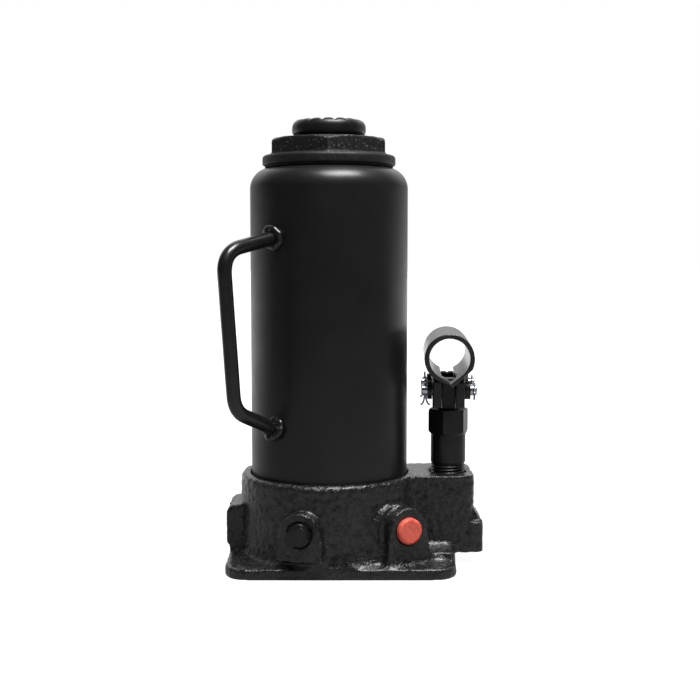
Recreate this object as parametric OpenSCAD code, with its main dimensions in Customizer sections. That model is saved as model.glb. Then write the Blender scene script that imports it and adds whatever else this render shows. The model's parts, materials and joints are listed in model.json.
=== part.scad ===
// Hydraulic bottle jack: cast base, reservoir tube, hollow ram with an extension screw,
// side pump worked by a handle socket and a fulcrum link, release and safety valves,
// and a welded carry handle. Millimetres.
// Origin: on the ram's axis at the underside of the base. +X points to the pump,
// -Y to the side with the two valves, +Z up.

/* [Reservoir] */
// Outside radius of the reservoir tube
tube_r = 40.6; // [40:0.1:41]
// Wall thickness of the reservoir tube
tube_wall = 2.8; // [2.2:0.1:3.2]
// Radius of the tube's rounded shoulder
shoulder_r = 11; // [10:0.1:11]
// Height of the tube's top edge
tube_top = 203; // [196:1:208]

/* [Base] */
// Outside radius of the base's ring
ring_r = 45.9; // [44.5:0.1:46.5]
// Height of the base's ring
ring_top = 46; // [44:0.5:48]
// Thickness of the base's flange
flange_t = 5.5; // [4:0.1:6]
// Height of the level that all the oil passages are drilled at
valve_z = 23; // [22.5:0.1:23.2]

/* [Ram and extension screw] */
// Radius of the ram
ram_r = 17.45; // [17:0.05:17.45]
// Inside radius of the pressure cylinder
cylinder_bore = 22.5; // [22:0.1:22.5]
// Radius of the extension screw's thread
screw_r = 11.9; // [11:0.1:11.9]
// Radius of the saddle on top of the extension screw
saddle_r = 18.9; // [16:0.1:20]
// Number of radial grooves in the saddle
saddle_grooves = 16; // [8:1:18]

/* [Pump] */
// Distance from the ram's axis to the pump's axis
pump_x = 62.3; // [62:0.1:62.6]
// Radius of the pump plunger
plunger_r = 6; // [5:0.1:6]
// Height of the plunger's pin at the bottom of its stroke
plunger_pin_z = 88; // [87.5:0.1:88.5]
// Distance from the plunger's pin to the fulcrum pin
fulcrum_arm = 24; // [23:0.1:25]
// Turn of the handle socket and its link about the pump's axis, in degrees
socket_turn = 3; // [0:0.5:5]

/* [Handle socket] */
// Inside radius of the handle socket
socket_bore = 10.3; // [9.8:0.1:10.4]
// Wall thickness of the handle socket
socket_wall = 2.5; // [2:0.1:2.8]
// Length of the handle socket in front of the pump's axis
socket_front = 20; // [16:0.5:24]
// Length of the handle socket behind the pump's axis
socket_back = 41; // [34:0.5:50]

/* [Carry handle] */
// Radius of the carry handle's rod
rod_r = 3.5; // [3:0.1:4]
// Direction of the carry handle, in degrees from the front
carry_turn = -41; // [-45:1:-35]

/* [Hidden] */
$fn = 96;

fit_gap = 0.05;            // radial clearance of a part that turns or slides in its bore
tube_inner = tube_r - tube_wall;
tube_foot = 35;            // bottom edge of the reservoir tube
tube_mouth = 29.3;         // opening in the tube's top
recess_r = 41;             // recess in the base for the tube
recess_z = 34;
seat_z = 28.5;             // floor of the pressure cylinder's seat
cylinder_r = 28.5;
cylinder_foot = 30;
cylinder_top = tube_top + 3;
cylinder_neck_r = 25.5;    // threaded top of the pressure cylinder
neck_z = tube_top - 13;
nut_roof_z = tube_top + 4; // underside of the top nut's roof, where the piston stops
nut_top = tube_top + 14.5;
collar_r = 34.2;
collar_top = nut_top - 8.4;
nut_flats = 56.8;            // across the flats of the top nut's hexagon
piston_r = cylinder_bore - fit_gap;
piston_top = 50.5;
ram_top = nut_top + 0.5;
crown = ram_top + 9.2;     // top of the saddle, and the jack's closed height
stop_r = 13.9;             // ring that keeps the extension screw in the ram
passage_r = 1.75;
cross_r = 2.2;             // level passages that an upright one opens into
chamber_r = 4;             // valve chambers
ball_r = 3;
release_turn = -15.6;      // direction of the release valve, in degrees from the front
release_face = 51.9;
safety_turn = 28;          // direction of the safety valve
safety_side = 16.1;        // its distance beside the radius
safety_face = 54.7;
plug_thread_r = 5.5;
cap_r = 6.6;
pin_r = 2.85;
pin_hole_r = pin_r + fit_gap;
eye_hole_r = pin_r + 0.85; // open pivot at the link's top: room for its small error
gap_half = 3.6;            // half of the gap between the socket's cheeks
side_gap = 0.2;            // between a cheek and what moves beside it
cheek_outer = 8.4;
boss_r = 7;                // bosses round the socket's two pins
cheek_foot = plunger_pin_z - boss_r - 1.8;   // lowest edge of the socket's cheeks
socket_z = 106;
fulcrum_z = plunger_pin_z + 1.2;
link_y = fulcrum_arm + 0.6; // the link's two eyes, one above the other
link_foot_z = 36;
wire_r = 0.8;
corner = 0.01;             // small step that keeps cuts clear of coplanar faces

// Points of an arc about c from angle a to angle b
function arc(c, r, a, b, n = 12) =
    [for (i = [0:n]) c + r * [cos(a + (b - a) * i / n), sin(a + (b - a) * i / n)]];

// Rectangle with rounded corners
function rounded(x0, x1, y0, y1, r, n = 8) = concat(
    arc([x1 - r, y1 - r], r, 0, 90, n), arc([x0 + r, y1 - r], r, 90, 180, n),
    arc([x0 + r, y0 + r], r, 180, 270, n), arc([x1 - r, y0 + r], r, 270, 360, n));

// Arch with splayed sides, standing on the line y = foot; lean widens its right side's foot
function arch(r, centre, splay, foot, lean = 0, n = 20) =
    concat(arc([0, centre], r, 0, 180, n), [[-r - splay, foot], [r + splay + lean, foot]]);

// Local frame whose z axis points outward, turned about the ram's axis from the front
module facing(turn, side = 0, z = 0)
    rotate([0, 0, turn]) translate([side, 0, z]) rotate([90, 0, 0]) children();

// Local frame of the pump: the plunger's axis is z, the handle's direction is -y
module at_pump() translate([pump_x, 0, 0]) rotate([0, 0, -socket_turn]) children();

// Extrusion across the pump's frame, of an outline drawn in its y and z
module across(x0, x1)
    translate([x0, 0, 0]) rotate([90, 0, 90]) linear_extrude(x1 - x0) children();

// Cylinder along the pump's x
module cross_rod(r, x0, x1, y, z)
    translate([x0, y, z]) rotate([0, 90, 0]) cylinder(r = r, h = x1 - x0);

module ring(inner, outer, z0, z1)
    rotate_extrude() translate([inner, z0]) square([outer - inner, z1 - z0]);

function unit(v) = v / norm(v);

// Rod swept along a line of [point, u, v], where the unit vectors u and v lie across the line
module sweep(line, r, sides) {
    last = len(line) - 1;
    points = [for (at = line, i = [0:sides - 1]) let (w = 360 * i / sides)
        at[0] + r * cos(w) * at[1] + r * sin(w) * at[2]];
    walls = [for (k = [0:last - 1], i = [0:sides - 1], half = [0, 1]) let (j = (i + 1) % sides)
        half == 0 ? [k * sides + i, k * sides + j, (k + 1) * sides + j]
            : [k * sides + i, (k + 1) * sides + j, (k + 1) * sides + i]];
    polyhedron(points, concat([[for (i = [sides - 1:-1:0]) i]], walls,
        [[for (i = [0:sides - 1]) last * sides + i]]));
}

// Coil spring along z
module coil(radius, wire, length, turns, steps = 14) {
    rise = length - 2 * wire;
    line = [for (i = [0:steps * turns]) let (w = 360 * i / steps, out = [cos(w), sin(w), 0],
        along = unit([-radius * sin(w), radius * cos(w), rise / (2 * PI * turns)]))
        [radius * out + [0, 0, wire + rise * i / (steps * turns)], out, cross(along, out)]];
    sweep(line, wire, 6);
}

/* ---- base ---- */

module base_outside() {
    rotate_extrude() polygon([[0, 0], [ring_r + 2.8, 0], [ring_r + 2.8, flange_t],
        [ring_r + 0.6, flange_t + 6], [ring_r, ring_top - 1.5], [ring_r - 1.5, ring_top],
        [0, ring_top]]);
    linear_extrude(flange_t) polygon(rounded(-51.4, 63.9, -48, 48, 12));
    // raised land at the pump's end of the flange
    linear_extrude(10) polygon(rounded(40, 63.8, -33, 33, 3));
    base_lug();
    pump_block();
    link_ears();
    valve_boss(release_turn, 0, 10.5, valve_z, 1.1, 9.5, 36, release_face);
    valve_boss(release_turn, 0, 10.5, 10, 1.2, 1, 36, 46);
    valve_boss(safety_turn, safety_side, 10.7, valve_z + 0.5, 0.6, 1, 36, safety_face, 3.4);
    valve_boss(safety_turn, safety_side - 3.5, 11.5, valve_z + 0.8, 1.1, 1, 30, 48);
}

module base_lug() {
    lug_top = 30;
    lug_end = -53;
    round_r = 4.5;
    rotate([90, 0, 0]) translate([0, 0, -14]) linear_extrude(28) polygon(concat(
        [[-38, 1], [-50.9, 1], [-51.8, 10], [lug_end, 10]],
        arc([lug_end + round_r, lug_top - round_r], round_r, 180, 90, 8), [[-38, lug_top]]));
}

module pump_block() {
    block_w = 18.5;
    translate([0, 0, 6]) linear_extrude(ring_top - 6)
        polygon(rounded(30, pump_x + 12.5, -block_w, block_w, 7));
    translate([0, 0, 6.1]) linear_extrude(15.9)
        polygon(rounded(50, pump_x + 17, -block_w + 0.5, block_w - 0.5, 3));
    rotate([90, 0, 0]) translate([0, 0, -15]) linear_extrude(30)
        polygon([[60, 21], [pump_x + 16.9, 21], [pump_x + 12.4, 28], [60, 28]]);
}

module link_ears()
    at_pump() across(-9.5, 9.5) polygon(concat([[10, 20], [link_y + 1, 20]],
        arc([link_y, link_foot_z], 7, -40, 90, 12), [[10, link_foot_z + 7]]));

module valve_boss(turn, side, r, centre, splay, foot, from, to, lean = 0)
    facing(turn, side) translate([0, 0, from]) linear_extrude(to - from)
        polygon(arch(r, centre, splay, foot, lean));

// Bores for the tube, the pressure cylinder and the pump
module base_seats() {
    translate([0, 0, recess_z]) cylinder(r = recess_r, h = 20);
    translate([0, 0, seat_z]) cylinder(r = cylinder_r + 0.1, h = 20);
    translate([pump_x, 0, 26]) cylinder(r = barrel_r + 0.05, h = 30);
    translate([pump_x, 0, ring_top - 0.8]) cylinder(r = 11.4, h = 5);
    translate([pump_x, 0, 16]) cylinder(r = 4.5, h = 20);
    at_pump() {
        across(-gap_half - 0.4, gap_half + 0.4)
            polygon([[16.6, 28.4], [40, 28.4], [40, 50], [16.6, 50]]);
        cross_rod(pin_hole_r, -15, 15, link_y, link_foot_z);
    }
}

// Suction: from the reservoir's floor down, across to the pump, and up to its ball
suction_out = [31, 10];
suction_z = 10;
suction_angle = atan2(suction_out[1], suction_out[0] - pump_x);

module suction_bores() {
    translate([pump_x, 0, suction_z]) cylinder(r = passage_r, h = 8);
    translate([suction_out[0], suction_out[1], suction_z]) cylinder(r = passage_r, h = 30);
    translate([suction_out[0], suction_out[1], recess_z - 1.2]) cylinder(r = 2.9, h = 5);
    suction_line(-norm([pump_x - suction_out[0], suction_out[1]]) - 3.5, 30, cross_r);
    suction_line(10.4, 30, 3.6);
}

// Horizontal cylinder through the pump's axis, along the line of the suction passage
module suction_line(from, to, r)
    translate([pump_x, 0, suction_z]) rotate([0, 0, suction_angle + 180]) rotate([0, 90, 0])
        translate([0, 0, from]) cylinder(r = r, h = to - from);

// Delivery: from the pump's chamber to the sprung ball and up under the piston
delivery_seat = -14;

module delivery_bores() {
    translate([0, 0, valve_z]) rotate([0, -90, 0]) {
        translate([0, 0, -pump_x]) cylinder(r = passage_r, h = pump_x + 20);
        translate([0, 0, -delivery_seat]) cylinder(r = chamber_r, h = 30);
        translate([0, 0, 40]) cylinder(r = plug_thread_r, h = 20);
    }
    translate([-20.3, 0, valve_z]) cylinder(r = passage_r, h = 8);
}

// Release: from under the piston, past the ball and the stem, to the reservoir
release_seat = 21;

module release_bores() {
    facing(release_turn, 0, valve_z) {
        translate([0, 0, 8.5]) cylinder(r = cross_r, h = 9);
        translate([0, 0, 12]) cylinder(r = passage_r, h = 12);
        translate([0, 0, release_seat]) cylinder(r = chamber_r, h = 20);
        translate([0, 0, 35.5]) cylinder(r = 5.25, h = 6);
        translate([0, 0, 41]) cylinder(r = 6, h = 20);
    }
    facing(release_turn) {
        translate([0, valve_z, 12]) rotate([-90, 0, 0]) cylinder(r = passage_r, h = 8);
        translate([0, valve_z, 32.8]) rotate([-90, 0, 0]) cylinder(r = passage_r, h = 14);
    }
}

// Safety: from the delivery passage, past the sprung ball, to the reservoir
safety_seat = 25;

module safety_bores() {
    facing(safety_turn, safety_side, valve_z) {
        translate([0, 0, safety_side * tan(safety_turn)]) cylinder(r = 1.5, h = 20);
        translate([0, 0, safety_seat]) cylinder(r = chamber_r, h = 20);
        translate([0, 0, 40]) cylinder(r = plug_thread_r, h = 10);
        translate([0, 0, 49]) cylinder(r = cap_r + 0.05, h = 10);
    }
    facing(safety_turn, safety_side)
        translate([0, valve_z, 29.5]) rotate([-90, 0, 0]) cylinder(r = 1.5, h = 14);
}

module base_casting() color([0.07, 0.07, 0.075])
    difference() {
        base_outside();
        base_seats();
        suction_bores();
        delivery_bores();
        release_bores();
        safety_bores();
    }

/* ---- reservoir and pressure cylinder ---- */

module reservoir_tube() color([0.09, 0.09, 0.095]) {
    outer_c = [tube_r - shoulder_r, tube_top - shoulder_r];
    difference() {
        rotate_extrude() polygon(concat([[tube_inner, tube_foot], [tube_r, tube_foot]],
            arc(outer_c, shoulder_r, 0, 90, 16), [[tube_mouth, tube_top],
            [tube_mouth, tube_top - tube_wall]],
            arc(outer_c, shoulder_r - tube_wall, 90, 0, 16)));
        facing(180, 0, 176) translate([0, 0, tube_inner - 3]) cylinder(r = 4.1, h = 8);
    }
}

module pressure_cylinder() color([0.55, 0.55, 0.56])
    rotate_extrude() polygon([[cylinder_bore, cylinder_foot], [cylinder_r, cylinder_foot],
        [cylinder_r, neck_z - 1], [cylinder_neck_r, neck_z + 1],
        [cylinder_neck_r, cylinder_top], [cylinder_bore, cylinder_top]]);

module top_nut() color([0.1, 0.1, 0.105])
    difference() {
        union() {
            rotate_extrude() polygon(concat([[0, neck_z + 2], [28.8, neck_z + 2],
                [28.8, tube_top + 0.8], [collar_r - 0.6, tube_top + 0.8],
                [collar_r, tube_top + 1.4]], arc([collar_r - 1.6, collar_top - 1.6], 1.6, 0, 90, 6),
                [[0, collar_top]]));
            intersection() {
                translate([0, 0, nut_top - 11]) rotate([0, 0, 30])
                    cylinder(r = nut_flats / 2 / cos(30), h = 11, $fn = 6);
                rotate_extrude() polygon([[0, nut_top - 12], [36, nut_top - 12],
                    [36, nut_top - 3.4], [nut_flats / 2 + 0.4, nut_top], [0, nut_top]]);
            }
        }
        translate([0, 0, neck_z]) cylinder(r = cylinder_neck_r + 0.05, h = nut_roof_z - neck_z);
        translate([0, 0, neck_z]) cylinder(r = ram_r + fit_gap, h = 60);
        translate([0, 0, nut_top - 6]) cylinder(r = 20.5, h = 3.5);
    }

module ram_wiper() color([0.12, 0.12, 0.12])
    ring(ram_r + fit_gap, 20.5, nut_top - 5.9, nut_top - 2.6);

module reservoir_top_gasket() color([0.16, 0.16, 0.16])
    ring(tube_mouth + 0.1, 32.9, tube_top + 0.02, tube_top + 0.8);

module reservoir_bottom_gasket() color([0.16, 0.16, 0.16])
    ring(tube_inner, tube_r, recess_z, tube_foot);

module cylinder_gasket() color([0.72, 0.42, 0.25])
    ring(cylinder_bore, cylinder_r, seat_z, cylinder_foot);

// Rubber plug in the filler hole at the back of the tube
module oil_filler_plug() color([0.1, 0.1, 0.1])
    facing(180, 0, 176) rotate_extrude() polygon(concat([[0, tube_inner - 3.5],
        [4.4, tube_inner - 2.6], [4.8, tube_inner - 0.6], [4, tube_inner - 0.55],
        [4, tube_r + 0.2], [6.4, tube_r + 0.25]],
        arc([4.2, tube_r + 0.25], 2.2, 10, 90, 5), [[0, tube_r + 2.45]]));

/* ---- carry handle ---- */

// The rod's centre line, as distance from the ram's axis and height
carry_path = [[39, 167.4], [74.6, 160.2], [67.8, 83.6], [39, 71.3]];
carry_bend = 12;

// Point, normal and side vector of the rod's line, from its place and direction in the plane
function rod_frame(at, dir) = [[at[0], 0, at[1]], [dir[1], 0, -dir[0]], [0, 1, 0]];

// One bend of the rod, from the straight a-c to the straight c-b
function bend(a, c, b, n = 8) =
    let (u = unit(c - a), turn = acos(u * unit(b - c)),
         start = c - carry_bend * tan(turn / 2) * u,
         centre = start + carry_bend * [u[1], -u[0]],
         from = atan2(start[1] - centre[1], start[0] - centre[0]))
    [for (i = [0:n]) let (w = from - turn * i / n)
        rod_frame(centre + carry_bend * [cos(w), sin(w)], [sin(w), -cos(w)])];

module carry_handle() color([0.08, 0.08, 0.085]) {
    p = carry_path;
    difference() {
        rotate([0, 0, carry_turn - 90]) sweep(concat([rod_frame(p[0], unit(p[1] - p[0]))],
            bend(p[0], p[1], p[2]), bend(p[1], p[2], p[3]),
            [rod_frame(p[3], unit(p[3] - p[2]))]), rod_r, 16);
        translate([0, 0, 50]) cylinder(r = tube_r + 0.02, h = 150);
    }
}

// Bead of weld round each end of the rod
module weld_bead(at, tilt)
    difference() {
        rotate([0, 0, carry_turn - 90]) translate([tube_r + 0.6, 0, at]) rotate([0, tilt, 0])
            rotate_extrude() translate([rod_r + 0.6, 0]) circle(r = 2.2, $fn = 32);
        rotate([0, 0, carry_turn - 90]) translate([tube_r + 0.6, 0, at]) rotate([0, tilt, 0])
            translate([0, 0, -12]) cylinder(r = rod_r + 0.01, h = 40);
        translate([0, 0, 50]) cylinder(r = tube_r + 0.01, h = 150);
    }

module handle_welds() color([0.07, 0.07, 0.07]) {
    p = carry_path;
    top_slope = (p[1][1] - p[0][1]) / (p[1][0] - p[0][0]);
    foot_slope = (p[2][1] - p[3][1]) / (p[2][0] - p[3][0]);
    weld_bead(p[0][1] + top_slope * (tube_r + 0.6 - p[0][0]), 90 - atan(top_slope));
    weld_bead(p[3][1] + foot_slope * (tube_r + 0.6 - p[3][0]), 90 - atan(foot_slope));
}

/* ---- pump ---- */

barrel_r = 9.1;
barrel_foot = 27.2;
hex_r = 10.8;
hex_foot = 65.4;
hex_top = 78.4;
hex_turn = 12;

module pump_cylinder() color([0.1, 0.1, 0.105])
    translate([pump_x, 0, 0]) difference() {
        union() {
            translate([0, 0, barrel_foot]) cylinder(r = barrel_r, h = hex_foot + 2 - barrel_foot);
            intersection() {
                translate([0, 0, hex_foot]) rotate([0, 0, hex_turn])
                    cylinder(r = hex_r, h = hex_top - hex_foot, $fn = 6);
                rotate_extrude() polygon([[0, hex_foot], [hex_r - 1.4, hex_foot],
                    [hex_r + 0.2, hex_foot + 1.6], [hex_r + 0.2, hex_top - 0.8],
                    [hex_r - 0.7, hex_top], [0, hex_top]]);
            }
        }
        translate([0, 0, barrel_foot - 1]) cylinder(r = plunger_r + fit_gap, h = 60);
        translate([0, 0, hex_top - 6]) cylinder(r = 7.9, h = 4);
        // last turns of the thread that stay above the base
        for (z = [ring_top + 0.6:1.6:ring_top + 4]) ring(barrel_r - 0.6, barrel_r + 1, z, z + 0.7);
    }

module pump_cylinder_washer() color([0.72, 0.42, 0.25])
    translate([pump_x, 0, 0]) ring(plunger_r + 0.3, barrel_r, 26, barrel_foot);

module pump_gland_seal() color([0.15, 0.15, 0.15])
    translate([pump_x, 0, 0]) ring(plunger_r + fit_gap, 7.9, hex_top - 5.9, hex_top - 2.1);

plunger_foot = 28.5;
rod_shoulder = cheek_foot - 0.4;   // above it the plunger is a flat head
head_foot = max(rod_shoulder - 0.4, hex_top + 0.1);

module pump_plunger() color([0.6, 0.6, 0.61])
    at_pump() difference() {
        union() {
            translate([0, 0, plunger_foot]) cylinder(r = plunger_r, h = rod_shoulder - plunger_foot);
            across(-gap_half + side_gap, gap_half - side_gap) polygon([[-5.8, head_foot],
                [5.8, head_foot], [5.8, plunger_pin_z + 4.5], [4.2, plunger_pin_z + 6.3],
                [-4.2, plunger_pin_z + 6.3], [-5.8, plunger_pin_z + 4.5]]);
        }
        cross_rod(pin_hole_r + 0.02, -9, 9, 0, plunger_pin_z);
        ring(plunger_r - 1.4, plunger_r + 1, plunger_foot + 2, plunger_foot + 5);
    }

module plunger_seal() color([0.15, 0.15, 0.15])
    translate([pump_x, 0, plunger_foot]) ring(plunger_r - 1.4, plunger_r + 0.03, 2.05, 4.95);

/* ---- handle socket and link ---- */

// Outline of a cheek: a boss round each pin and a bridge between them
module cheek_outline() {
    translate([0, plunger_pin_z]) circle(r = boss_r);
    translate([fulcrum_arm, fulcrum_z]) circle(r = boss_r);
    translate([-5, plunger_pin_z - 1.5]) square([fulcrum_arm + 11, 12]);
    // square corner in front, which swings away from the pump as the handle is raised
    translate([-boss_r - 0.4, cheek_foot]) square([boss_r + 0.4, 14]);
}

module socket_tube() {
    outer = socket_bore + socket_wall;
    tip = [1.2, -14.9];        // where the two edges of the sheet meet, from the tube's axis
    front_end = 8.3;
    // round part
    translate([0, -front_end, socket_z]) rotate([-90, 0, 0])
        cylinder(r = outer, h = socket_back + front_end);
    // front part, flattened into a blunt V below
    translate([0, -front_end + corner, socket_z]) rotate([90, 0, 0]) intersection() {
        union() {
            cylinder(r = outer, h = socket_front - front_end);
            linear_extrude(socket_front - front_end) polygon([[-6, -10], tip, [7, -10]]);
        }
        translate([0, 0, -1]) linear_extrude(socket_front) polygon([[-20, 20], [-20, -3.1], tip,
            [20, 2.2], [20, 20]]);
    }
}

module handle_socket() color([0.11, 0.11, 0.115])
    at_pump() difference() {
        union() {
            socket_tube();
            across(-cheek_outer, cheek_outer) cheek_outline();
        }
        translate([0, -60, socket_z]) rotate([-90, 0, 0]) cylinder(r = socket_bore, h = 140);
        across(-gap_half, gap_half) translate([-8.2, 70]) square([88, socket_z - 75]);
        // groove of the front part's V
        translate([0, 0, socket_z]) rotate([90, 0, 0])
            linear_extrude(40) polygon([[-5.2, -8.4], [1, -12.5], [6, -8.4]]);
        cross_rod(pin_hole_r, -12, 12, 0, plunger_pin_z);
        cross_rod(pin_hole_r, -12, 12, fulcrum_arm, fulcrum_z);
    }

// Headless pin with a cross hole near each end, one upright and one level
pin_from = -14.2;
pin_to = 14.8;
cross_left = -12.1;
cross_right = 13.3;

module drilled_pin(y, z)
    at_pump() difference() {
        translate([pin_from, y, z]) rotate([0, 90, 0]) rotate_extrude() polygon([[0, 0],
            [pin_r - 0.5, 0], [pin_r, 0.5], [pin_r, pin_to - pin_from - 0.5],
            [pin_r - 0.5, pin_to - pin_from], [0, pin_to - pin_from]]);
        translate([cross_left, y, z - 5]) cylinder(r = wire_r + 0.1, h = 10);
        translate([cross_right, y + 5, z]) rotate([90, 0, 0]) cylinder(r = wire_r + 0.1, h = 10);
    }

module plunger_pin() color([0.7, 0.71, 0.73]) drilled_pin(0, plunger_pin_z);
module fulcrum_pin() color([0.7, 0.71, 0.73]) drilled_pin(fulcrum_arm, fulcrum_z);
module link_pin() color([0.7, 0.71, 0.73]) drilled_pin(link_y, link_foot_z);

module washers(y, z)
    for (at = [[-11, -8.6], [8.6, 9.9], [10.1, 11.4]])
        translate([at[0], y, z]) rotate([0, 90, 0]) ring(pin_r + 0.1, 4.8, 0, at[1] - at[0]);

module pin_washers() color([0.12, 0.12, 0.12]) at_pump() {
    washers(0, plunger_pin_z);
    washers(fulcrum_arm, fulcrum_z);
}

// Split pin through the origin along z: eye on top, two legs bent open below
module split_pin(leg) {
    eye = 1.5;
    translate([0, 0, -3.4]) cylinder(r = wire_r, h = 6.6);
    translate([0, 0, 3 + eye]) rotate([0, 90, 0])
        rotate_extrude() translate([eye, 0]) circle(r = wire_r * 0.8, $fn = 24);
    for (s = [-1, 1])
        translate([0, 0, -3.4]) rotate([s * (180 - 38), 0, 0]) cylinder(r = wire_r * 0.7, h = leg);
}

module pin_pair(y, z) {
    translate([cross_left, y, z]) split_pin(5);
    translate([cross_right, y, z]) rotate([90, 0, 0]) split_pin(4.2);
}

module split_pins() color([0.72, 0.73, 0.75]) at_pump() {
    pin_pair(0, plunger_pin_z);
    pin_pair(fulcrum_arm, fulcrum_z);
}

module link_split_pins() color([0.72, 0.73, 0.75]) at_pump() pin_pair(link_y, link_foot_z);

// Link: two plates side by side, joined by a block between them
module link_plate(x0, x1)
    across(x0, x1) union() {
        translate([link_y, fulcrum_z]) circle(r = 6.4);
        translate([link_y, link_foot_z]) circle(r = 6.7);
        translate([link_y - 5, link_foot_z]) square([10, fulcrum_z - link_foot_z]);
    }

module fulcrum_link() color([0.12, 0.12, 0.125])
    at_pump() difference() {
        union() {
            link_plate(-gap_half + side_gap, -0.45);
            link_plate(0.45, gap_half - side_gap);
            translate([-1, link_y - 3.5, 48]) cube([2, 7, 28]);
        }
        cross_rod(pin_hole_r + 0.02, -9, 9, link_y, link_foot_z);
        cross_rod(eye_hole_r, -9, 9, link_y, fulcrum_z);
    }

/* ---- ram and extension screw ---- */

screw_foot = 98;

module ram() color([0.75, 0.76, 0.78])
    difference() {
        union() {
            translate([0, 0, 40]) cylinder(r = ram_r, h = ram_top - 40);
            rotate_extrude() polygon([[0, 36.2], [piston_r - 1, 36.2], [piston_r, 37.2],
                [piston_r, piston_top - 1], [piston_r - 1, piston_top], [0, piston_top]]);
            translate([0, 0, 31]) cylinder(r = 8, h = 8);
        }
        translate([0, 0, screw_foot - 4]) cylinder(r = stop_r + 0.2, h = ram_top - 25 - screw_foot + 4);
        translate([0, 0, screw_foot - 4]) cylinder(r = screw_r + 0.1, h = 140);
    }

module piston_cup() color([0.2, 0.2, 0.22])
    rotate_extrude() polygon([[8.05, 33], [19.6, 33], [20.4, 31.9], [cylinder_bore - 0.02, 31.6],
        [cylinder_bore - 0.02, 36.1], [8.05, 36.1]]);

module cup_retainer() color([0.6, 0.6, 0.6]) ring(8.05, 17, 31, 32.9);

module screw_stop_ring() color([0.5, 0.5, 0.52])
    ring(9.05, stop_r, screw_foot + 4, screw_foot + 7);

module extension_screw() color([0.11, 0.11, 0.115])
    difference() {
        rotate_extrude() polygon(concat([[0, screw_foot], [10, screw_foot], [11, screw_foot + 1],
            [11, screw_foot + 3.5], [9, screw_foot + 3.5], [9, screw_foot + 7.5],
            [screw_r, screw_foot + 8.5], [screw_r, ram_top + 0.6], [16.6, ram_top + 1]],
            arc([saddle_r - 2, ram_top + 3.2], 2, -60, 0, 5),
            arc([saddle_r - 3.8, crown - 3.8], 3.8, 0, 90, 8), [[0, crown]]));
        for (i = [0:saddle_grooves - 1]) rotate([0, 0, (i + 0.5) * 360 / saddle_grooves])
            translate([7, 0, crown + 0.6]) rotate([45, 0, 0])
                translate([0, -1.5, -1.5]) cube([16, 3, 3]);
    }

/* ---- valves ---- */

module suction_strainer() color([0.75, 0.6, 0.3])
    translate([suction_out[0], suction_out[1], 0])
        rotate_extrude() polygon([[0, 36.6], [2.2, 36.6], [2.85, 36], [2.85, recess_z - 1.2],
            [2.3, recess_z - 1.2], [2.3, 35.6], [1.8, 36], [0, 36]]);

module suction_passage_plug() color([0.5, 0.5, 0.51])
    difference() {
        suction_line(10.5, 15.2, 3.55);
        translate([pump_x, 0, suction_z]) rotate([0, 0, suction_angle + 180]) rotate([0, 90, 0])
            translate([0, 0, 12.7]) cylinder(r = 1.7, h = 10, $fn = 6);
    }

module suction_ball() color([0.8, 0.81, 0.83])
    translate([pump_x, 0, 16 + sqrt(ball_r * ball_r - passage_r * passage_r)]) sphere(r = ball_r);

ball_sit = sqrt(ball_r * ball_r - passage_r * passage_r) + 0.005;
safety_sit = sqrt(ball_r * ball_r - 1.5 * 1.5) + 0.005;

module delivery_ball() color([0.8, 0.81, 0.83])
    translate([delivery_seat - ball_sit, 0, valve_z]) sphere(r = ball_r);

module delivery_spring() color([0.6, 0.6, 0.62])
    translate([delivery_seat - ball_sit - ball_r - 0.1, 0, valve_z]) rotate([0, -90, 0])
        coil(2.5, 0.5, 40 + delivery_seat - ball_sit - ball_r - 0.3, 8);

module delivery_valve_plug() color([0.12, 0.12, 0.12])
    translate([0, 0, valve_z]) rotate([0, -90, 0]) difference() {
        translate([0, 0, 40.05]) cylinder(r = plug_thread_r - 0.05, h = 12.4);
        translate([0, 0, 49]) cylinder(r = 3, h = 5, $fn = 6);
    }

module safety_ball() color([0.8, 0.81, 0.83])
    facing(safety_turn, safety_side, valve_z)
        translate([0, 0, safety_seat + safety_sit]) sphere(r = ball_r);

module safety_spring() color([0.6, 0.6, 0.62])
    facing(safety_turn, safety_side, valve_z) translate([0, 0, safety_seat + safety_sit + ball_r + 0.1])
        coil(2.7, 0.7, 40 - safety_seat - safety_sit - ball_r - 0.2, 5);

module safety_adjusting_screw() color([0.5, 0.5, 0.51])
    facing(safety_turn, safety_side, valve_z) difference() {
        translate([0, 0, 40.05]) cylinder(r = plug_thread_r - 0.05, h = 7.5);
        translate([-8, -0.8, 45.6]) cube([16, 1.6, 5]);
    }

module safety_cap() color([0.86, 0.2, 0.16])
    facing(safety_turn, safety_side, valve_z) rotate_extrude() polygon([[0, 49.2], [cap_r - 0.4, 49.2],
        [cap_r, 49.8], [cap_r, 55.8], [cap_r - 0.5, 56.6], [cap_r - 1.4, 57], [0, 57]]);

module release_ball() color([0.8, 0.81, 0.83])
    facing(release_turn, 0, valve_z) translate([0, 0, release_seat + ball_sit]) sphere(r = ball_r);

module release_o_ring() color([0.15, 0.15, 0.15])
    facing(release_turn, 0, valve_z) ring(3.55, 5.2, 37, 38.8);

tongue_t = 7;

// Stem that presses on the ball, a thread, and a tongue to turn it by
module release_valve() color([0.11, 0.11, 0.115])
    facing(release_turn, 0, valve_z) union() {
        rotate_extrude() polygon([[0, release_seat + ball_sit + ball_r + 0.02],
            [1.6, release_seat + ball_sit + ball_r + 0.02], [2.6, 29], [3.5, 31], [3.5, 41.4],
            [5.4, 41.4], [5.92, 42], [5.92, 52.6], [5.2, 53.3], [0, 53.3]]);
        intersection() {
            translate([0, 0, 52]) cylinder(r = 5.9, h = 5.6);
            rotate([0, 0, 27]) translate([-8, -tongue_t / 2, 50]) cube([16, tongue_t, 10]);
        }
    }

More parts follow.
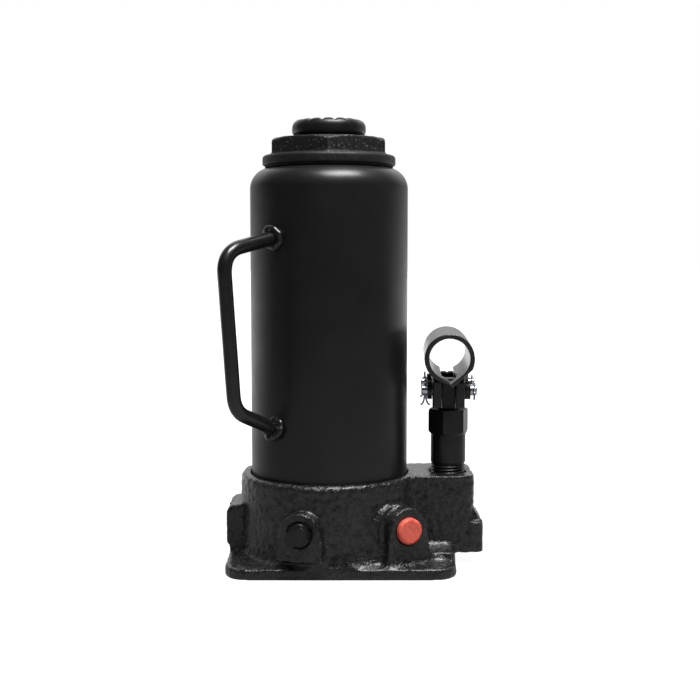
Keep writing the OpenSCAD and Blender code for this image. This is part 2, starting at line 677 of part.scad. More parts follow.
base_casting();
reservoir_tube();
pressure_cylinder();
top_nut();
ram_wiper();
reservoir_top_gasket();
reservoir_bottom_gasket();
cylinder_gasket();
carry_handle();
handle_welds();
oil_filler_plug();
pump_cylinder();
pump_cylinder_washer();
pump_gland_seal();
suction_strainer();
suction_passage_plug();
delivery_valve_plug();
delivery_spring();
safety_adjusting_screw();
safety_spring();
safety_cap();
link_pin();
link_split_pins();
ram();
piston_cup();
cup_retainer();
screw_stop_ring();
extension_screw();
pump_plunger();
plunger_seal();
handle_socket();
plunger_pin();
fulcrum_pin();
pin_washers();
split_pins();
fulcrum_link();
release_o_ring();
release_valve();
release_ball();
suction_ball();
delivery_ball();
safety_ball();
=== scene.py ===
"""Looks of a hydraulic bottle jack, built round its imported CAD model.

The casting, nut, saddle, socket and small forged parts are remeshed from their CAD solids, so that
their edges are rounded and their faces uneven. The tube, the barrel, the screw's thread, the carry
handle, its welds, the cap and the split pins are modelled here. Sizes are in metres.
"""
import json
import math

import bmesh
import bpy
import numpy as np
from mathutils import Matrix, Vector, noise

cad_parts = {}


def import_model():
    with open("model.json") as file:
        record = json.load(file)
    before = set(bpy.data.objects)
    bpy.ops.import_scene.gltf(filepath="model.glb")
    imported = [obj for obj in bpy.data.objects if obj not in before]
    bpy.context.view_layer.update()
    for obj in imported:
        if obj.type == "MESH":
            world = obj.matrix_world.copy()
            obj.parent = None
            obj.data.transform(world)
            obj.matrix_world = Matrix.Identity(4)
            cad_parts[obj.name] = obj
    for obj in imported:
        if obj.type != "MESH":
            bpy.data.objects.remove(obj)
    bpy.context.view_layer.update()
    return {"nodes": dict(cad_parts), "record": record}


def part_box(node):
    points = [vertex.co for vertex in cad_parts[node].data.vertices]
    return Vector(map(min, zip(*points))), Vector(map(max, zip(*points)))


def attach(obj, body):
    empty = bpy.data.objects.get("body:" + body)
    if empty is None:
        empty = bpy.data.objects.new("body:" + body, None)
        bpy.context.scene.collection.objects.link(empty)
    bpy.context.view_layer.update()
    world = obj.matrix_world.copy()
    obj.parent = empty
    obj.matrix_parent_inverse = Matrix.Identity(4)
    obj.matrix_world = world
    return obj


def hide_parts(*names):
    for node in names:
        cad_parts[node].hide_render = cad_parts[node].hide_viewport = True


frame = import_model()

MM = 0.001

# Places and sizes that the CAD model fixes
tube_low, tube_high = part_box("reservoir_tube")
TUBE_R = tube_high.x
TUBE_TOP = tube_high.z
NUT_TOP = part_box("top_nut")[1].z
HEX_FOOT = NUT_TOP - 8.4 * MM           # foot of the top nut's hexagon
screw_low, screw_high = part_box("extension_screw")
RAM_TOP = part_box("ram")[1].z
barrel_low, barrel_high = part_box("pump_cylinder")
seal_low, seal_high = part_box("pump_gland_seal")
PUMP_X = seal_low.x / 2 + seal_high.x / 2
PLUNGER_SHOULDER = 78.8 * MM            # foot of the plunger's head
base_low, base_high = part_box("base_casting")
RING_R = 45.9 * MM                      # ring that holds the tube
RING_TOP = base_high.z
SOCKET_TURN = math.radians(-3)
PUMP_HEX_TURN = math.radians(12)
RELEASE_TURN = math.radians(-15.6)      # directions of the two valves, from the front
SAFETY_TURN = math.radians(28)
SAFETY_SIDE = 16.1 * MM                 # the safety valve's distance beside the radius
VALVE_Z = 23 * MM

# Surfaces of the casting that other pieces sit in, and stay smooth
TUBE_SEAT_R = 41.6 * MM
RELEASE_BORE_R = 6.8 * MM
CAP_BORE_R = 7.4 * MM
BARREL_SEAT_R = 10.2 * MM
BOSS_FACE_R = 10.5 * MM                 # flat faces of the valve bosses, less uneven than the rest


# ---- mesh helpers ----

def unit(v):
    return v / np.linalg.norm(v)


def facing_axis(turn, side=0.0):
    """Start and direction of an axis that runs outward, turned about the ram's axis from the front."""
    outward = np.array([math.sin(turn), -math.cos(turn), 0.0])
    start = np.array([math.cos(turn), math.sin(turn), 0.0]) * side + np.array([0, 0, VALVE_Z])
    return start, outward


def away_from(points, axis):
    """Distance of points from an axis, given as a start and a direction."""
    start, along = axis
    arm = points - start
    return np.linalg.norm(arm - np.outer(arm @ along, along), axis=1)


def new_piece(name, mesh, body, slot, replaces=()):
    """Piece made from a mesh in the row frame, riding on a body, with its slot's material."""
    work = bmesh.new()
    work.from_mesh(mesh)
    bmesh.ops.recalc_face_normals(work, faces=work.faces)
    work.to_mesh(mesh)
    work.free()
    mesh.shade_smooth()
    piece = bpy.data.objects.new(name, mesh)
    bpy.context.scene.collection.objects.link(piece)
    mesh.materials.clear()
    mesh.materials.append(MATERIALS[slot])
    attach(piece, body)
    if replaces:
        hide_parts(*replaces)
    return piece


def mesh_from(name, points, faces):
    mesh = bpy.data.meshes.new(name)
    mesh.from_pydata([tuple(p) for p in points], [], faces)
    return mesh


def skin(name, rows, closed):
    """Mesh over rings of points. Closed joins the last ring to the first. Otherwise the ends are capped."""
    rows = np.asarray(rows, float)
    count, sides = rows.shape[:2]
    faces = []
    for k in range(count if closed else count - 1):
        low, high = k * sides, (k + 1) % count * sides
        faces += [(low + i, low + (i + 1) % sides, high + (i + 1) % sides, high + i)
                  for i in range(sides)]
    if not closed:
        faces += [tuple(range(sides)), tuple(range((count - 1) * sides, count * sides))]
    return mesh_from(name, rows.reshape(-1, 3), faces)


def arc(centre, radius, start, end, steps=10):
    """Points of an arc in degrees, as (radius, height) pairs."""
    angles = np.radians(np.linspace(start, end, steps + 1))
    return [(centre[0] + radius * math.cos(a), centre[1] + radius * math.sin(a)) for a in angles]


def lathe_rows(profile, segments):
    """Rings of a profile of (radius, height) turned about Z."""
    angles = np.linspace(0, 2 * math.pi, segments, endpoint=False)
    return [[(r * math.cos(a), r * math.sin(a), z) for a in angles] for r, z in profile]


def sweep(name, path, radius, sides):
    """Round rod along a path of points."""
    path = np.asarray(path, float)
    along = np.gradient(path, axis=0)
    across = unit(np.cross(along[0], [0.3, 0.5, 0.81]))
    angles = np.linspace(0, 2 * math.pi, sides, endpoint=False)
    rows = []
    for point, way in zip(path, along):
        way = unit(way)
        across = unit(across - way * (across @ way))
        other = np.cross(way, across)
        rows.append([point + radius * (math.cos(a) * across + math.sin(a) * other) for a in angles])
    return skin(name, rows, closed=False)


def read_mesh(mesh):
    points = np.zeros(len(mesh.vertices) * 3)
    mesh.vertices.foreach_get("co", points)
    edges = np.zeros(len(mesh.edges) * 2, int)
    mesh.edges.foreach_get("vertices", edges)
    return points.reshape(-1, 3), edges.reshape(-1, 2)


def write_points(mesh, points):
    mesh.vertices.foreach_set("co", np.asarray(points).ravel())
    mesh.update()


def normals_of(mesh):
    values = np.zeros(len(mesh.vertices) * 3)
    mesh.vertex_normals.foreach_get("vector", values)
    return values.reshape(-1, 3)


def toward_neighbours(points, edges):
    """Vector from each vertex to the middle of its neighbours."""
    a, b = edges.T
    size = len(points)
    count = np.bincount(a, minlength=size) + np.bincount(b, minlength=size)
    middle = np.stack([np.bincount(a, points[b, k], size) + np.bincount(b, points[a, k], size)
                       for k in range(3)], axis=1)
    return middle / np.maximum(count, 1)[:, None] - points


def relax(mesh, rounds, where=None, fill=False):
    """Smooth a mesh. With fill, only hollow corners are filled, and outer edges stay."""
    points, edges = read_mesh(mesh)
    weight = 0.5 if where is None else 0.5 * where[:, None]
    for _ in range(rounds):
        step = toward_neighbours(points, edges)
        if fill:
            write_points(mesh, points)
            outward = (step * normals_of(mesh)).sum(axis=1)
            step = step * (outward > 0)[:, None]
        points = points + weight * step
    write_points(mesh, points)


def field(points, size, seed):
    """Smooth noise between about -1 and 1, with lumps of the given size."""
    shift = Vector((seed * 7.3, seed * 3.1, seed * 5.7))
    return np.array([noise.noise(Vector(p) / size + shift) for p in points])


def roughen(mesh, lumps, where=None):
    """Push the surface in and out by noise. lumps are (size, height) pairs."""
    points, _ = read_mesh(mesh)
    shift = sum(height * field(points, size, seed + 1) for seed, (size, height) in enumerate(lumps))
    if where is not None:
        shift = shift * where
    write_points(mesh, points + shift[:, None] * normals_of(mesh))


def store(mesh, name, values):
    """Keep a value per vertex, for a material to read."""
    layer = mesh.attributes.new(name, "FLOAT", "POINT")
    layer.data.foreach_set("value", np.clip(values, 0, 1).astype(np.float32))


def mark_wear(mesh, depth, rounds=2):
    """Store how sharply the surface bends outward, which is where paint wears first."""
    points, edges = read_mesh(mesh)
    bend = -(toward_neighbours(points, edges) * normals_of(mesh)).sum(axis=1) / depth
    a, b = edges.T
    for _ in range(rounds):
        count = np.bincount(a, minlength=len(bend)) + np.bincount(b, minlength=len(bend))
        around = np.bincount(a, bend[b], len(bend)) + np.bincount(b, bend[a], len(bend))
        bend = 0.5 * bend + 0.5 * around / np.maximum(count, 1)
    store(mesh, "wear", bend)


def remeshed(node, voxel, above=None):
    """Even mesh over a CAD node's solid, or over the part of it above a height."""
    work = bmesh.new()
    work.from_mesh(frame["nodes"][node].data)
    bmesh.ops.remove_doubles(work, verts=work.verts, dist=1e-6)
    if above is not None:
        cut = bmesh.ops.bisect_plane(work, geom=work.verts[:] + work.edges[:] + work.faces[:],
                                     plane_co=(0, 0, above), plane_no=(0, 0, 1), clear_inner=True)
        rim = [e for e in cut["geom_cut"] if isinstance(e, bmesh.types.BMEdge)]
        bmesh.ops.contextual_create(work, geom=rim)
    source = bpy.data.meshes.new(node + "_source")
    work.to_mesh(source)
    work.free()
    holder = bpy.data.objects.new(node + "_source", source)
    bpy.context.scene.collection.objects.link(holder)
    remesh = holder.modifiers.new("remesh", "REMESH")
    remesh.mode = "VOXEL"
    remesh.voxel_size = voxel
    bpy.context.view_layer.update()
    result = bpy.data.meshes.new_from_object(
        holder.evaluated_get(bpy.context.evaluated_depsgraph_get()))
    bpy.data.objects.remove(holder)
    bpy.data.meshes.remove(source)
    return result


# ---- materials ----

class Shader:
    """Node material with object coordinates, so its detail has a real size and moves with its piece."""

    def __init__(self, name):
        self.material = bpy.data.materials.new(name)
        self.material.use_nodes = True
        self.tree = self.material.node_tree
        self.bsdf = self.tree.nodes["Principled BSDF"]
        self.place = self.node("ShaderNodeTexCoord").outputs["Object"]
        self.seed = 0

    def node(self, kind, sockets=(), **settings):
        made = self.tree.nodes.new(kind)
        for key, value in settings.items():
            setattr(made, key, value)
        for key, value in dict(sockets).items():
            if isinstance(value, bpy.types.NodeSocket):
                self.tree.links.new(value, made.inputs[key])
            else:
                made.inputs[key].default_value = value
        return made

    def noise(self, size, detail=3.0, stretch=(1, 1, 1)):
        """Noise whose lumps have about the given size in metres."""
        self.seed += 1
        moved = self.node("ShaderNodeMapping", {
            "Vector": self.place, "Location": (self.seed * 1.7, self.seed * 0.9, self.seed * 2.3),
            "Scale": tuple(s / size for s in stretch)}).outputs["Vector"]
        return self.node("ShaderNodeTexNoise", {"Vector": moved, "Scale": 1.0, "Detail": detail,
                                                "Roughness": 0.55}).outputs["Fac"]

    def remap(self, value, low, high, to_low=0.0, to_high=1.0):
        return self.node("ShaderNodeMapRange", {"Value": value, "From Min": low, "From Max": high,
                                                "To Min": to_low, "To Max": to_high}).outputs["Result"]

    def math(self, operation, a, b):
        return self.node("ShaderNodeMath", {0: a, 1: b}, operation=operation).outputs["Value"]

    def mix(self, share, a, b):
        """Colour between a and b, which are colours or sockets."""
        made = self.node("ShaderNodeMix", data_type="RGBA")
        for index, value in ((0, share), (6, a), (7, b)):
            if isinstance(value, bpy.types.NodeSocket):
                self.tree.links.new(value, made.inputs[index])
            else:
                made.inputs[index].default_value = (*value, 1.0) if index > 0 else value
        return made.outputs[2]

    def bump(self, layers):
        """Bump from (noise socket, height in metres) layers."""
        normal = None
        for height_map, height in layers:
            sockets = {"Height": height_map, "Distance": height, "Strength": 1.0}
            if normal is not None:
                sockets["Normal"] = normal
            normal = self.node("ShaderNodeBump", sockets).outputs["Normal"]
        self.tree.links.new(normal, self.bsdf.inputs["Normal"])

    def wear(self, amount, size):
        """Share of bare surface: where the mesh bends outward, broken up by noise."""
        edge = self.node("ShaderNodeAttribute", attribute_name="wear").outputs["Fac"]
        broken = self.math("MULTIPLY", edge, self.remap(self.noise(size, 4.0), 0.35, 0.75))
        return self.remap(broken, 1.0 - amount, 1.15 - amount)

    def finish(self, colour, roughness, **constants):
        self.tree.links.new(colour, self.bsdf.inputs["Base Color"])
        self.tree.links.new(roughness, self.bsdf.inputs["Roughness"])
        for key, value in constants.items():
            self.bsdf.inputs[key.replace("_", " ")].default_value = value
        return self.material


def paint(name, dark, light, rough, bumps, patch=6 * MM, wear=None, glint_specks=None, **constants):
    """Paint with patches of tone, uneven gloss, bumps, worn edges and light speckles that are painted
    glints.

    bumps are (size, height, stretch) groups; wear is (colour, amount, size); specks are
    (colour, size, share), kept where the mesh's own "forged" value is above 0.
    """
    s = Shader(name)
    colour = s.mix(s.remap(s.noise(patch), 0.35, 0.65), dark, light)
    roughness = s.remap(s.noise(patch * 0.6), 0.3, 0.7, *rough)
    # Light grey speckles painted in as glints, only on the mesh's forged faces, and rougher there.
    if glint_specks:
        tint, size, share = glint_specks
        glint_spot = s.remap(s.noise(size, 1.0), 0.83 - share, 0.86 - share)
        forged_skin = s.node("ShaderNodeAttribute", attribute_name="forged").outputs["Fac"]
        glint_spot = s.math("MULTIPLY", glint_spot, forged_skin)
        colour = s.mix(glint_spot, colour, tint)
        roughness = s.math("MAXIMUM", roughness, s.remap(glint_spot, 0, 1, 0.0, 0.6))
    if wear:
        tint, amount, size = wear
        bare = s.wear(amount, size)
        colour = s.mix(bare, colour, tint)
        roughness = s.math("MAXIMUM", roughness, s.remap(bare, 0, 1, 0.0, 0.45))
    s.bump([(s.noise(size, 3.0, (1, 1, stretch)), height) for size, height, stretch in bumps])
    return s.finish(colour, roughness, **constants)


def metal(name, dark, light, rough, stretch=(1, 1, 1), grain=0.5 * MM, height=0.004 * MM):
    """Bare metal with grain, which stretch draws out into turning or grinding marks."""
    s = Shader(name)
    colour = s.mix(s.remap(s.noise(5 * MM), 0.35, 0.65), dark, light)
    marks = s.noise(grain, 3.0, stretch)
    roughness = s.remap(marks, 0.3, 0.7, *rough)
    s.bump([(marks, height), (s.noise(3 * MM), height * 2)])
    return s.finish(colour, roughness, Metallic=1.0)


TURNED = (0.06, 0.06, 1.0)   # marks run round Z
WORN = (0.12, 0.12, 0.12)
BARE = (0.30, 0.28, 0.26)

MATERIALS = {
    "cast_black": paint("cast_black", (0.002, 0.002, 0.0025), (0.024, 0.024, 0.027), (0.16, 0.4),
                        [(2.6 * MM, 0.9 * MM, 0.7), (0.8 * MM, 0.3 * MM, 0.9)], 2.4 * MM,
                        wear=(BARE, 0.5, 0.9 * MM),
                        Coat_Weight=0.35, Coat_Roughness=0.2),
    "tube_black": paint("tube_black", (0.008, 0.008, 0.0085), (0.011, 0.011, 0.0115), (0.3, 0.38),
                        [(0.6 * MM, 0.01 * MM, 1), (9 * MM, 0.05 * MM, 1)], 25 * MM),
    # The nut's light grey speckles are painted glints of its rough forged hexagon.
    "nut_black": paint("nut_black", (0.005, 0.005, 0.005), (0.009, 0.009, 0.009), (0.42, 0.62),
                       [(0.9 * MM, 0.12 * MM, 0.5), (0.4 * MM, 0.06 * MM, 1)], 3 * MM,
                       wear=(WORN, 0.5, 0.6 * MM), glint_specks=((0.4, 0.4, 0.4), 0.7 * MM, 0.14)),
    "saddle_black": paint("saddle_black", (0.006, 0.006, 0.006), (0.01, 0.01, 0.01), (0.3, 0.42),
                          [(0.8 * MM, 0.015 * MM, 1), (6 * MM, 0.08 * MM, 1)], 5 * MM,
                          wear=(WORN, 0.35, 0.8 * MM)),
    "rod_black": paint("rod_black", (0.006, 0.006, 0.007), (0.01, 0.01, 0.011), (0.24, 0.36),
                       [(1.2 * MM, 0.012 * MM, 1), (6 * MM, 0.06 * MM, 1)], 8 * MM,
                       Coat_Weight=0.3, Coat_Roughness=0.15),
    "pump_black": paint("pump_black", (0.006, 0.006, 0.007), (0.012, 0.012, 0.013), (0.28, 0.4),
                        [(0.8 * MM, 0.015 * MM, 1)], 4 * MM, wear=(BARE, 0.35, 0.8 * MM)),
    "socket_black": paint("socket_black", (0.008, 0.0075, 0.007), (0.018, 0.016, 0.015), (0.34, 0.5),
                          [(1.0 * MM, 0.01 * MM, 1), (5 * MM, 0.06 * MM, 1)], 5 * MM,
                          wear=(BARE, 0.35, 0.8 * MM), Coat_Weight=0.6, Coat_Roughness=0.18),
    "turned_steel": metal("turned_steel", (0.36, 0.36, 0.37), (0.5, 0.5, 0.51), (0.32, 0.46), TURNED),
    "ground_steel": metal("ground_steel", (0.5, 0.51, 0.53), (0.62, 0.63, 0.65), (0.24, 0.36), TURNED,
                          0.3 * MM, 0.002 * MM),
    "spring_steel": metal("spring_steel", (0.3, 0.3, 0.32), (0.42, 0.42, 0.44), (0.25, 0.4)),
    "zinc": metal("zinc", (0.58, 0.62, 0.68), (0.78, 0.8, 0.84), (0.14, 0.3), grain=0.8 * MM,
                  height=0.01 * MM),
    "ball_steel": metal("ball_steel", (0.7, 0.71, 0.73), (0.78, 0.79, 0.8), (0.05, 0.1)),
    "copper": metal("copper", (0.62, 0.33, 0.2), (0.75, 0.43, 0.28), (0.25, 0.45), TURNED),
    "brass_mesh": metal("brass_mesh", (0.6, 0.45, 0.2), (0.75, 0.6, 0.3), (0.3, 0.5), height=0.02 * MM),
    "seal_rubber": paint("seal_rubber", (0.012, 0.012, 0.012), (0.022, 0.022, 0.022), (0.6, 0.85),
                         [(0.8 * MM, 0.02 * MM, 1)]),
    "red_cap": paint("red_cap", (0.9, 0.12, 0.08), (1.0, 0.2, 0.14), (0.45, 0.6),
                     [(0.9 * MM, 0.02 * MM, 1), (3 * MM, 0.06 * MM, 1)], 1.4 * MM,
                     wear=((0.9, 0.35, 0.3), 0.3, 1 * MM)),
}


# ---- pieces ----

def cast_base():
    """Casting with rounded edges, a filled corner round the ring and an uneven skin."""
    voxel, fillet_rounds = 0.8 * MM, 60
    mesh = remeshed("base_casting", voxel)
    relax(mesh, 3)
    points, _ = read_mesh(mesh)
    radius = np.hypot(points[:, 0], points[:, 1])
    low = np.clip((17 * MM - points[:, 2]) / (4 * MM), 0, 1) * (points[:, 2] > 3 * MM)
    outside = np.clip((radius - RING_R + 2 * MM) / (2 * MM), 0, 1)
    beside_block = ((points[:, 0] > 34 * MM) & (points[:, 0] < 62 * MM)
                    & (abs(points[:, 1]) < 30 * MM) & (points[:, 2] < RING_TOP - 1 * MM))
    relax(mesh, fillet_rounds, where=np.maximum(low, beside_block) * outside, fill=True)
    points, _ = read_mesh(mesh)
    radius = np.hypot(points[:, 0], points[:, 1])
    release = away_from(points, facing_axis(RELEASE_TURN))
    safety = away_from(points, facing_axis(SAFETY_TURN, SAFETY_SIDE))
    pump = np.hypot(points[:, 0] - PUMP_X, points[:, 1])
    free = np.ones(len(points))
    for distance, bore in ((radius, TUBE_SEAT_R), (release, RELEASE_BORE_R), (safety, CAP_BORE_R),
                           (pump, BARREL_SEAT_R)):
        free *= np.clip((distance - bore) / (1.5 * MM), 0, 1)
    free *= np.clip(points[:, 2] / (2 * MM), 0.05, 1)
    free *= 1 - 0.7 * (np.minimum(release, safety) < BOSS_FACE_R)
    roughen(mesh, [(9 * MM, 0.4 * MM), (3 * MM, 0.34 * MM)], free)
    points, _ = read_mesh(mesh)
    write_points(mesh, np.clip(points, np.array(base_low), np.array(base_high)))
    mark_wear(mesh, 0.16 * voxel)
    return new_piece("cast_base", mesh, "base", "cast_black", ["base_casting"])


def reservoir():
    """Tube with a rounded shoulder, drawn in at the mouth, with a rolled-in lower edge."""
    shoulder, wall, edge = 11 * MM, 2.8 * MM, 0.6 * MM
    foot, mouth_r = tube_low.z, 29.3 * MM
    centre = (TUBE_R - shoulder, TUBE_TOP - shoulder)
    side = [(TUBE_R, z) for z in np.linspace(foot + edge, centre[1], 40)[1:-1]]
    profile = (arc((TUBE_R - edge, foot + edge), edge, -90, 0, 4) + side
               + arc(centre, shoulder, 0, 90, 24) + [(mouth_r, TUBE_TOP), (mouth_r, TUBE_TOP - wall)]
               + arc(centre, shoulder - wall, 90, 0, 16) + [(TUBE_R - wall, foot)])
    mesh = skin("reservoir", lathe_rows(profile, 192), closed=True)
    return new_piece("reservoir", mesh, "base", "tube_black", ["reservoir_tube"])


def clamp_nut():
    """Forged hexagon with a turned collar."""
    voxel, bore_side = 0.5 * MM, 20 * MM
    mesh = remeshed("top_nut", voxel)
    relax(mesh, 3)
    points, _ = read_mesh(mesh)
    share = np.clip((points[:, 2] - HEX_FOOT - 0.5 * MM) / (1 * MM), 0, 1)
    share *= np.hypot(points[:, 0], points[:, 1]) > bore_side
    roughen(mesh, [(4 * MM, 0.12 * MM), (1.1 * MM, 0.07 * MM)], share)
    # The forged share also places nut_black's painted glint speckles.
    store(mesh, "forged", share)
    mark_wear(mesh, 0.16 * voxel)
    return new_piece("clamp_nut", mesh, "base", "nut_black", ["top_nut"])


def saddle():
    """Grooved head of the extension screw."""
    voxel = 0.4 * MM
    mesh = remeshed("extension_screw", voxel, above=RAM_TOP + 0.2 * MM)
    relax(mesh, 5)
    roughen(mesh, [(6 * MM, 0.12 * MM)])
    points, _ = read_mesh(mesh)
    write_points(mesh, np.minimum(points, [1, 1, screw_high.z]))
    mark_wear(mesh, 0.2 * voxel)
    return new_piece("saddle", mesh, "extension_screw", "saddle_black", ["extension_screw"])


def screw_thread():
    """Shank of the extension screw with its thread, above the pin that holds its stop ring."""
    pitch, crest, root, step = 5 * MM, 11.85 * MM, 10.3 * MM, 0.3 * MM
    heights = np.arange(screw_low.z + 8.6 * MM, RAM_TOP + 0.3 * MM, step)
    angles = np.linspace(0, 2 * math.pi, 72, endpoint=False)
    rows = []
    for z in heights:
        turn = (z / pitch - angles / (2 * math.pi)) % 1.0
        tooth = np.clip((0.5 - np.abs(turn - 0.5)) * 6 - 0.8, 0, 1)
        radius = root + (crest - root) * tooth
        rows.append(np.stack([radius * np.cos(angles), radius * np.sin(angles),
                              np.full_like(angles, z)], axis=1))
    end = [(11 * MM, 0), (11 * MM, 3.5 * MM), (9 * MM, 3.6 * MM), (9 * MM, 8.2 * MM)]
    foot = lathe_rows([(r, screw_low.z + z) for r, z in end], 72)
    mesh = skin("screw_thread", foot + rows, closed=False)
    return new_piece("screw_thread", mesh, "extension_screw", "saddle_black")


def pump_barrel():
    """Barrel with a hexagon, and the last turns of its thread above the base."""
    foot, top = barrel_low.z, barrel_high.z
    barrel, bore, hex_foot, pitch = 9.1 * MM, 6.05 * MM, top - 13 * MM, 1.6 * MM
    hex_r, thread_top, soft = 10.75 * MM, RING_TOP + 4.6 * MM, 0.12 * MM
    flats = hex_r * math.cos(math.radians(30))
    angles = np.linspace(0, 2 * math.pi, 180, endpoint=False)
    sector = (angles - PUMP_HEX_TURN) % (math.pi / 3) - math.pi / 6
    hexagon = np.minimum(flats / np.cos(sector), hex_r)
    heights = list(np.arange(foot, hex_foot - 0.1 * MM, 0.2 * MM))
    heights += list(hex_foot + np.linspace(0, 1, 49) * (top - hex_foot))
    rows = []
    for z in heights:
        if z < hex_foot:
            turn = (z / pitch - angles / (2 * math.pi)) % 1.0
            groove = 0.55 * MM * np.clip(np.abs(turn - 0.5) * 4 - 0.7, 0, 1) * (z < thread_top)
            radius = barrel - groove - 0.25 * MM * (z < thread_top)
        else:
            cone = min(hex_r - 1.35 * MM + (z - hex_foot) * 0.95, hex_r - 0.65 * MM + (top - z) * 0.8)
            radius = -soft * np.log(np.exp(-hexagon / soft) + np.exp(-cone / soft))
            if z == heights[-1]:
                radius = radius - 0.1 * MM
        rows.append(np.stack([radius * np.cos(angles) + PUMP_X, radius * np.sin(angles),
                              np.full_like(angles, z)], axis=1))
    for radius, z in ((8.2 * MM, top), (bore + 0.5 * MM, top), (bore, top - 0.5 * MM), (bore, foot)):
        rows.append(np.stack([radius * np.cos(angles) + PUMP_X, radius * np.sin(angles),
                              np.full_like(angles, z)], axis=1))
    mesh = skin("pump_barrel", rows, closed=True)
    store(mesh, "wear", np.zeros(len(mesh.vertices)))
    return new_piece("pump_barrel", mesh, "base", "pump_black", ["pump_cylinder"])


def forged(name, node, body, slot, voxel, rounds, lumps=()):
    """Piece with rounded edges, remeshed from its CAD solid."""
    mesh = remeshed(node, voxel)
    relax(mesh, rounds)
    if lumps:
        roughen(mesh, lumps)
    mark_wear(mesh, 0.2 * voxel)
    return new_piece(name, mesh, body, slot, [node])


def plunger():
    """Ground rod with a groove for its seal, and a black head."""
    low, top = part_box("pump_plunger")[0].z, PLUNGER_SHOULDER - 0.8 * MM
    radius, groove, middle = 6 * MM, 4.6 * MM, 0.05 * MM
    profile = [(middle, low), (radius - 0.5 * MM, low), (radius, low + 0.5 * MM)]
    profile += [(radius, low + 1.95 * MM), (groove, low + 2 * MM), (groove, low + 5 * MM)]
    profile += [(radius, low + 5.05 * MM), (radius, top), (middle, top)]
    rows = np.array(lathe_rows(profile, 72)) + [PUMP_X, 0, 0]
    new_piece("plunger_rod", skin("plunger_rod", rows, closed=False), "plunger", "ground_steel")
    voxel = 0.3 * MM
    mesh = remeshed("pump_plunger", voxel, above=PLUNGER_SHOULDER - 0.9 * MM)
    relax(mesh, 3)
    mark_wear(mesh, 0.2 * voxel)
    return new_piece("plunger_head", mesh, "plunger", "pump_black", ["pump_plunger"])


# ---- carry handle ----

ROD_R = 3.5 * MM
CARRY_BEND = 13
CARRY_TURN = math.radians(-41 - 90)
CARRY_PATH = [(39, 167.4), (74.6, 160.2), (67.8, 83.6), (39, 71.3)]   # mm out and up


def carry_point(out, z, side=0.0):
    """Point of the handle's plane, from its distance from the ram's axis and its height in mm."""
    c, s = math.cos(CARRY_TURN), math.sin(CARRY_TURN)
    return np.array([out * c - side * s, out * s + side * c, z]) * MM


def rounded_path(corners, bend, steps=14):
    """Points along straight lines with round bends at the corners."""
    corners = [np.array(c, float) for c in corners]
    path = [corners[0]]
    for before, corner, after in zip(corners, corners[1:], corners[2:]):
        into, out = unit(corner - before), unit(after - corner)
        reach = bend * math.tan(math.acos(into @ out) / 2)
        start, end = corner - reach * into, corner + reach * out
        path += list(np.linspace(path[-1], start, 12)[1:])
        for t in np.linspace(0, 1, steps + 1)[1:]:
            path.append((1 - t) ** 2 * start + 2 * t * (1 - t) * corner + t ** 2 * end)
    return path + list(np.linspace(path[-1], corners[-1], 12)[1:])


def carry_rod():
    path = [carry_point(*p) for p in rounded_path(CARRY_PATH, CARRY_BEND)]
    mesh = sweep("carry_rod", path, ROD_R, 28)
    roughen(mesh, [(14 * MM, 0.12 * MM)])
    return new_piece("carry_rod", mesh, "base", "rod_black", ["carry_handle"])


def weld(name, from_point, to_point, seed, replaces=()):
    """Lumpy bead laid round the rod where it meets the tube."""
    bead_r = 2.3 * MM
    a, b = np.array(from_point, float), np.array(to_point, float)
    share = (TUBE_R / MM + 0.9 - a[0]) / (b[0] - a[0])
    centre = carry_point(*(a + share * (b - a)))
    along = unit(carry_point(*b) - carry_point(*a))
    across = unit(np.cross(along, [0, 0, 1]))
    other = np.cross(across, along)
    rows = []
    for turn in np.linspace(0, 2 * math.pi, 64, endpoint=False):
        out = math.cos(turn) * across + math.sin(turn) * other
        beads = bead_r * (1 + 0.08 * math.sin(turn * 7 + seed))
        middle = centre + out * (ROD_R + 0.7 * MM)
        rows.append([middle + beads * (math.cos(w) * out + 0.85 * math.sin(w) * along)
                     for w in np.linspace(0, 2 * math.pi, 28, endpoint=False)])
    mesh = skin(name, rows, closed=True)
    roughen(mesh, [(3.2 * MM, 0.45 * MM)])
    return new_piece(name, mesh, "base", "rod_black", replaces)


# ---- small pieces ----

def pump_frame(x, y, z):
    """Point of the pump's own frame, which is turned with the handle socket."""
    c, s = math.cos(SOCKET_TURN), math.sin(SOCKET_TURN)
    return np.array([PUMP_X + x * c - y * s, x * s + y * c, z])


def split_pin(name, centre, along, eye_way, leg_way, body, leg, spread, hook, replaces=()):
    """Split pin through centre: the eye points along and lies in the plane of eye_way, and the two
    legs, side by side along leg_way, are bent apart by spread and hooked at their ends."""
    half, eye, wire, steps = 0.45 * MM, 1.1 * MM, 0.5 * MM, 9
    shank = [-3.2 * MM, -1.5 * MM, 0.0, 1.5 * MM, 2.8 * MM]
    curl = []
    for t in np.linspace(0, 1, steps + 1)[1:]:
        bend = spread * min(1.0, 2.5 * t) + hook * t ** 3
        place = (curl or [(0.0, shank[0])])[-1]
        curl.append((place[0] + math.sin(bend) * leg / steps, place[1] - math.cos(bend) * leg / steps))
    right = [centre + (half + x) * leg_way + z * along for x, z in reversed(curl)]
    right += [centre + half * leg_way + z * along for z in shank]
    left = [centre - (half + x) * leg_way + z * along for x, z in curl]
    left = [centre - half * leg_way + z * along for z in reversed(shank)] + left
    loop = [centre + eye * math.sin(a) * eye_way + (3.4 * MM + eye - eye * math.cos(a)) * along
            for a in np.linspace(math.radians(25), math.radians(335), 20)]
    mesh = sweep(name, right + loop + left, wire, 10)
    return new_piece(name, mesh, body, "zinc", replaces)


